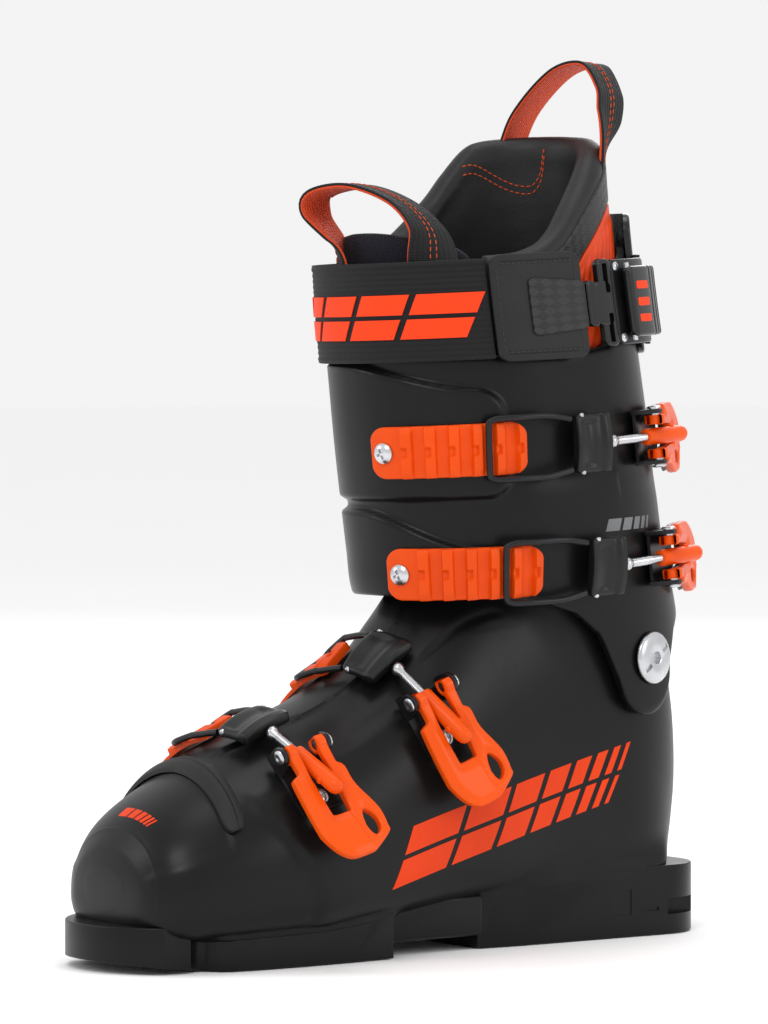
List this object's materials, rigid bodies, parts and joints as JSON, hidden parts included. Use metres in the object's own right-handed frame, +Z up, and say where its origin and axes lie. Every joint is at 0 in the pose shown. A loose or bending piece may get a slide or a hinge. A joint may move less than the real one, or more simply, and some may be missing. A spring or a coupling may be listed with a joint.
{
  "type": "alpine ski boot",
  "caption": "Left alpine ski boot with a hinged cuff, four buckles with levers that open, a power strap, a liner and pull loops.",
  "frame": {"origin": "on the floor under the middle of the sole's length and the middle of the overall width", "axes": "-Y towards the toe, +Z up along the leg, +X towards the wearer's left, the side with the levers"},
  "size_m": [0.1297, 0.3064, 0.3709],
  "materials": {
    "shell_black": "satin",
    "gloss_black": "gloss",
    "rubber_black": "matte",
    "orange_plastic": "semi-gloss",
    "black_steel": "gloss",
    "bright_steel": "polished",
    "black_webbing": "woven",
    "orange_webbing": "woven",
    "liner_skin": "satin",
    "tongue_cloth": "knit",
    "foam": "matte"
  },
  "bodies": {
    "lower_shell": {"lower_shell": "shell_black", "boot_board": "foam", "toe_gasket": "rubber_black", "liner_foot": "liner_skin", "pivot_lateral": "bright_steel", "pivot_medial": "bright_steel", "toe_base": "black_steel", "toe_pin_front": "bright_steel", "toe_pin_rear": "bright_steel", "toe_ladder": "orange_plastic", "toe_ladder_screw": "bright_steel", "instep_base": "black_steel", "instep_pin_front": "bright_steel", "instep_pin_rear": "bright_steel", "instep_ladder": "orange_plastic", "instep_ladder_screw": "bright_steel"},
    "cuff": {"cuff": "shell_black", "rear_spoiler": "gloss_black", "liner_cuff": "liner_skin", "liner_tongue": "tongue_cloth", "front_pull_loop": "orange_webbing", "rear_pull_loop": "orange_webbing", "power_strap": "black_webbing", "strap_patch": "black_webbing", "strap_hook": "gloss_black", "strap_frame": "black_steel", "strap_cam_pin": "bright_steel", "rear_strap": "black_webbing", "lower_cuff_base": "black_steel", "lower_cuff_pin_front": "bright_steel", "lower_cuff_pin_rear": "bright_steel", "lower_cuff_ladder": "orange_plastic", "lower_cuff_ladder_screw": "bright_steel", "upper_cuff_base": "black_steel", "upper_cuff_pin_front": "bright_steel", "upper_cuff_pin_rear": "bright_steel", "upper_cuff_ladder": "orange_plastic", "upper_cuff_ladder_screw": "bright_steel"},
    "strap_cam": {"strap_cam": "gloss_black"},
    "toe_lever": {"toe_lever": "orange_plastic"},
    "toe_link": {"toe_barrel": "orange_plastic", "toe_rod": "bright_steel", "toe_catch": "shell_black"},
    "toe_bail": {"toe_bail": "black_steel"},
    "instep_lever": {"instep_lever": "orange_plastic"},
    "instep_link": {"instep_barrel": "orange_plastic", "instep_rod": "bright_steel", "instep_catch": "shell_black"},
    "instep_bail": {"instep_bail": "black_steel"},
    "lower_cuff_lever": {"lower_cuff_lever": "orange_plastic"},
    "lower_cuff_link": {"lower_cuff_barrel": "orange_plastic", "lower_cuff_rod": "bright_steel", "lower_cuff_catch": "shell_black"},
    "lower_cuff_bail": {"lower_cuff_bail": "black_steel"},
    "upper_cuff_lever": {"upper_cuff_lever": "orange_plastic"},
    "upper_cuff_link": {"upper_cuff_barrel": "orange_plastic", "upper_cuff_rod": "bright_steel", "upper_cuff_catch": "shell_black"},
    "upper_cuff_bail": {"upper_cuff_bail": "black_steel"}
  },
  "joints": [
    {"name": "cuff_flex", "type": "hinge", "parent": "lower_shell", "child": "cuff", "pos_m": [-0.0065, 0.11, 0.12], "axis": [1, 0, 0], "range_deg": [0, 5], "stiffness_Nm_per_rad": 300, "springref_deg": -0.57},
    {"name": "strap_cam_lever", "type": "hinge", "parent": "cuff", "child": "strap_cam", "pos_m": [0.04878, 0.08977, 0.27474], "axis": [0.0404, 0.1326, -0.9903], "range_deg": [0, 75]},
    {"name": "toe_lever_open", "type": "hinge", "parent": "lower_shell", "child": "toe_lever", "pos_m": [0.03627, -0.07117, 0.08959], "axis": [-0.0109, -0.9656, -0.2597], "range_deg": [0, 110]},
    {"name": "toe_link_turn", "type": "hinge", "parent": "toe_lever", "child": "toe_link", "pos_m": [0.04852, -0.06833, 0.07851], "axis": [-0.0109, -0.9656, -0.2597], "range_deg": [-124.2, 0]},
    {"name": "toe_bail_lift", "type": "hinge", "parent": "toe_link", "child": "toe_bail", "pos_m": [-0.00457, -0.07752, 0.0989], "axis": [-0.1259, 0.9178, 0.3765], "range_deg": [0, 39.5]},
    {"name": "instep_lever_open", "type": "hinge", "parent": "lower_shell", "child": "instep_lever", "pos_m": [0.03759, -0.00709, 0.11042], "axis": [-0.0118, -0.922, -0.387], "range_deg": [0, 110]},
    {"name": "instep_link_turn", "type": "hinge", "parent": "instep_lever", "child": "instep_link", "pos_m": [0.04619, -0.00161, 0.09712], "axis": [-0.0118, -0.922, -0.387], "range_deg": [-124.2, 0]},
    {"name": "instep_bail_lift", "type": "hinge", "parent": "instep_link", "child": "instep_bail", "pos_m": [-0.00031, -0.0193, 0.12628], "axis": [-0.1729, 0.7747, 0.6083], "range_deg": [0, 39.5]},
    {"name": "lower_cuff_lever_open", "type": "hinge", "parent": "cuff", "child": "lower_cuff_lever", "pos_m": [0.04618, 0.11411, 0.16509], "axis": [0.0614, 0.0815, -0.9948], "range_deg": [0, 110]},
    {"name": "lower_cuff_link_turn", "type": "hinge", "parent": "lower_cuff_lever", "child": "lower_cuff_link", "pos_m": [0.03844, 0.12897, 0.16583], "axis": [0.0614, 0.0815, -0.9948], "range_deg": [-124.2, 0]},
    {"name": "lower_cuff_bail_lift", "type": "hinge", "parent": "lower_cuff_link", "child": "lower_cuff_bail", "pos_m": [0.05072, 0.06451, 0.16158], "axis": [0.1124, -0.0434, 0.9927], "range_deg": [0, 39.5]},
    {"name": "upper_cuff_lever_open", "type": "hinge", "parent": "cuff", "child": "upper_cuff_lever", "pos_m": [0.04721, 0.10521, 0.21698], "axis": [0.0541, 0.0847, -0.9949], "range_deg": [0, 110]},
    {"name": "upper_cuff_link_turn", "type": "hinge", "parent": "upper_cuff_lever", "child": "upper_cuff_link", "pos_m": [0.03915, 0.11988, 0.21779], "axis": [0.0541, 0.0847, -0.9949], "range_deg": [-124.2, 0]},
    {"name": "upper_cuff_bail_lift", "type": "hinge", "parent": "upper_cuff_link", "child": "upper_cuff_bail", "pos_m": [0.05196, 0.05537, 0.21395], "axis": [-0.0003, -0.0483, 0.9988], "range_deg": [0, 39.5]}
  ],
  "couplings": [
    {"joint": "toe_link_turn", "follows": "toe_lever_open", "ratio": -1.12},
    {"joint": "toe_bail_lift", "follows": "toe_lever_open", "ratio": 0.35},
    {"joint": "instep_link_turn", "follows": "instep_lever_open", "ratio": -1.12},
    {"joint": "instep_bail_lift", "follows": "instep_lever_open", "ratio": 0.35},
    {"joint": "lower_cuff_link_turn", "follows": "lower_cuff_lever_open", "ratio": -1.12},
    {"joint": "lower_cuff_bail_lift", "follows": "lower_cuff_lever_open", "ratio": 0.35},
    {"joint": "upper_cuff_link_turn", "follows": "upper_cuff_lever_open", "ratio": -1.12},
    {"joint": "upper_cuff_bail_lift", "follows": "upper_cuff_lever_open", "ratio": 0.35}
  ]
}
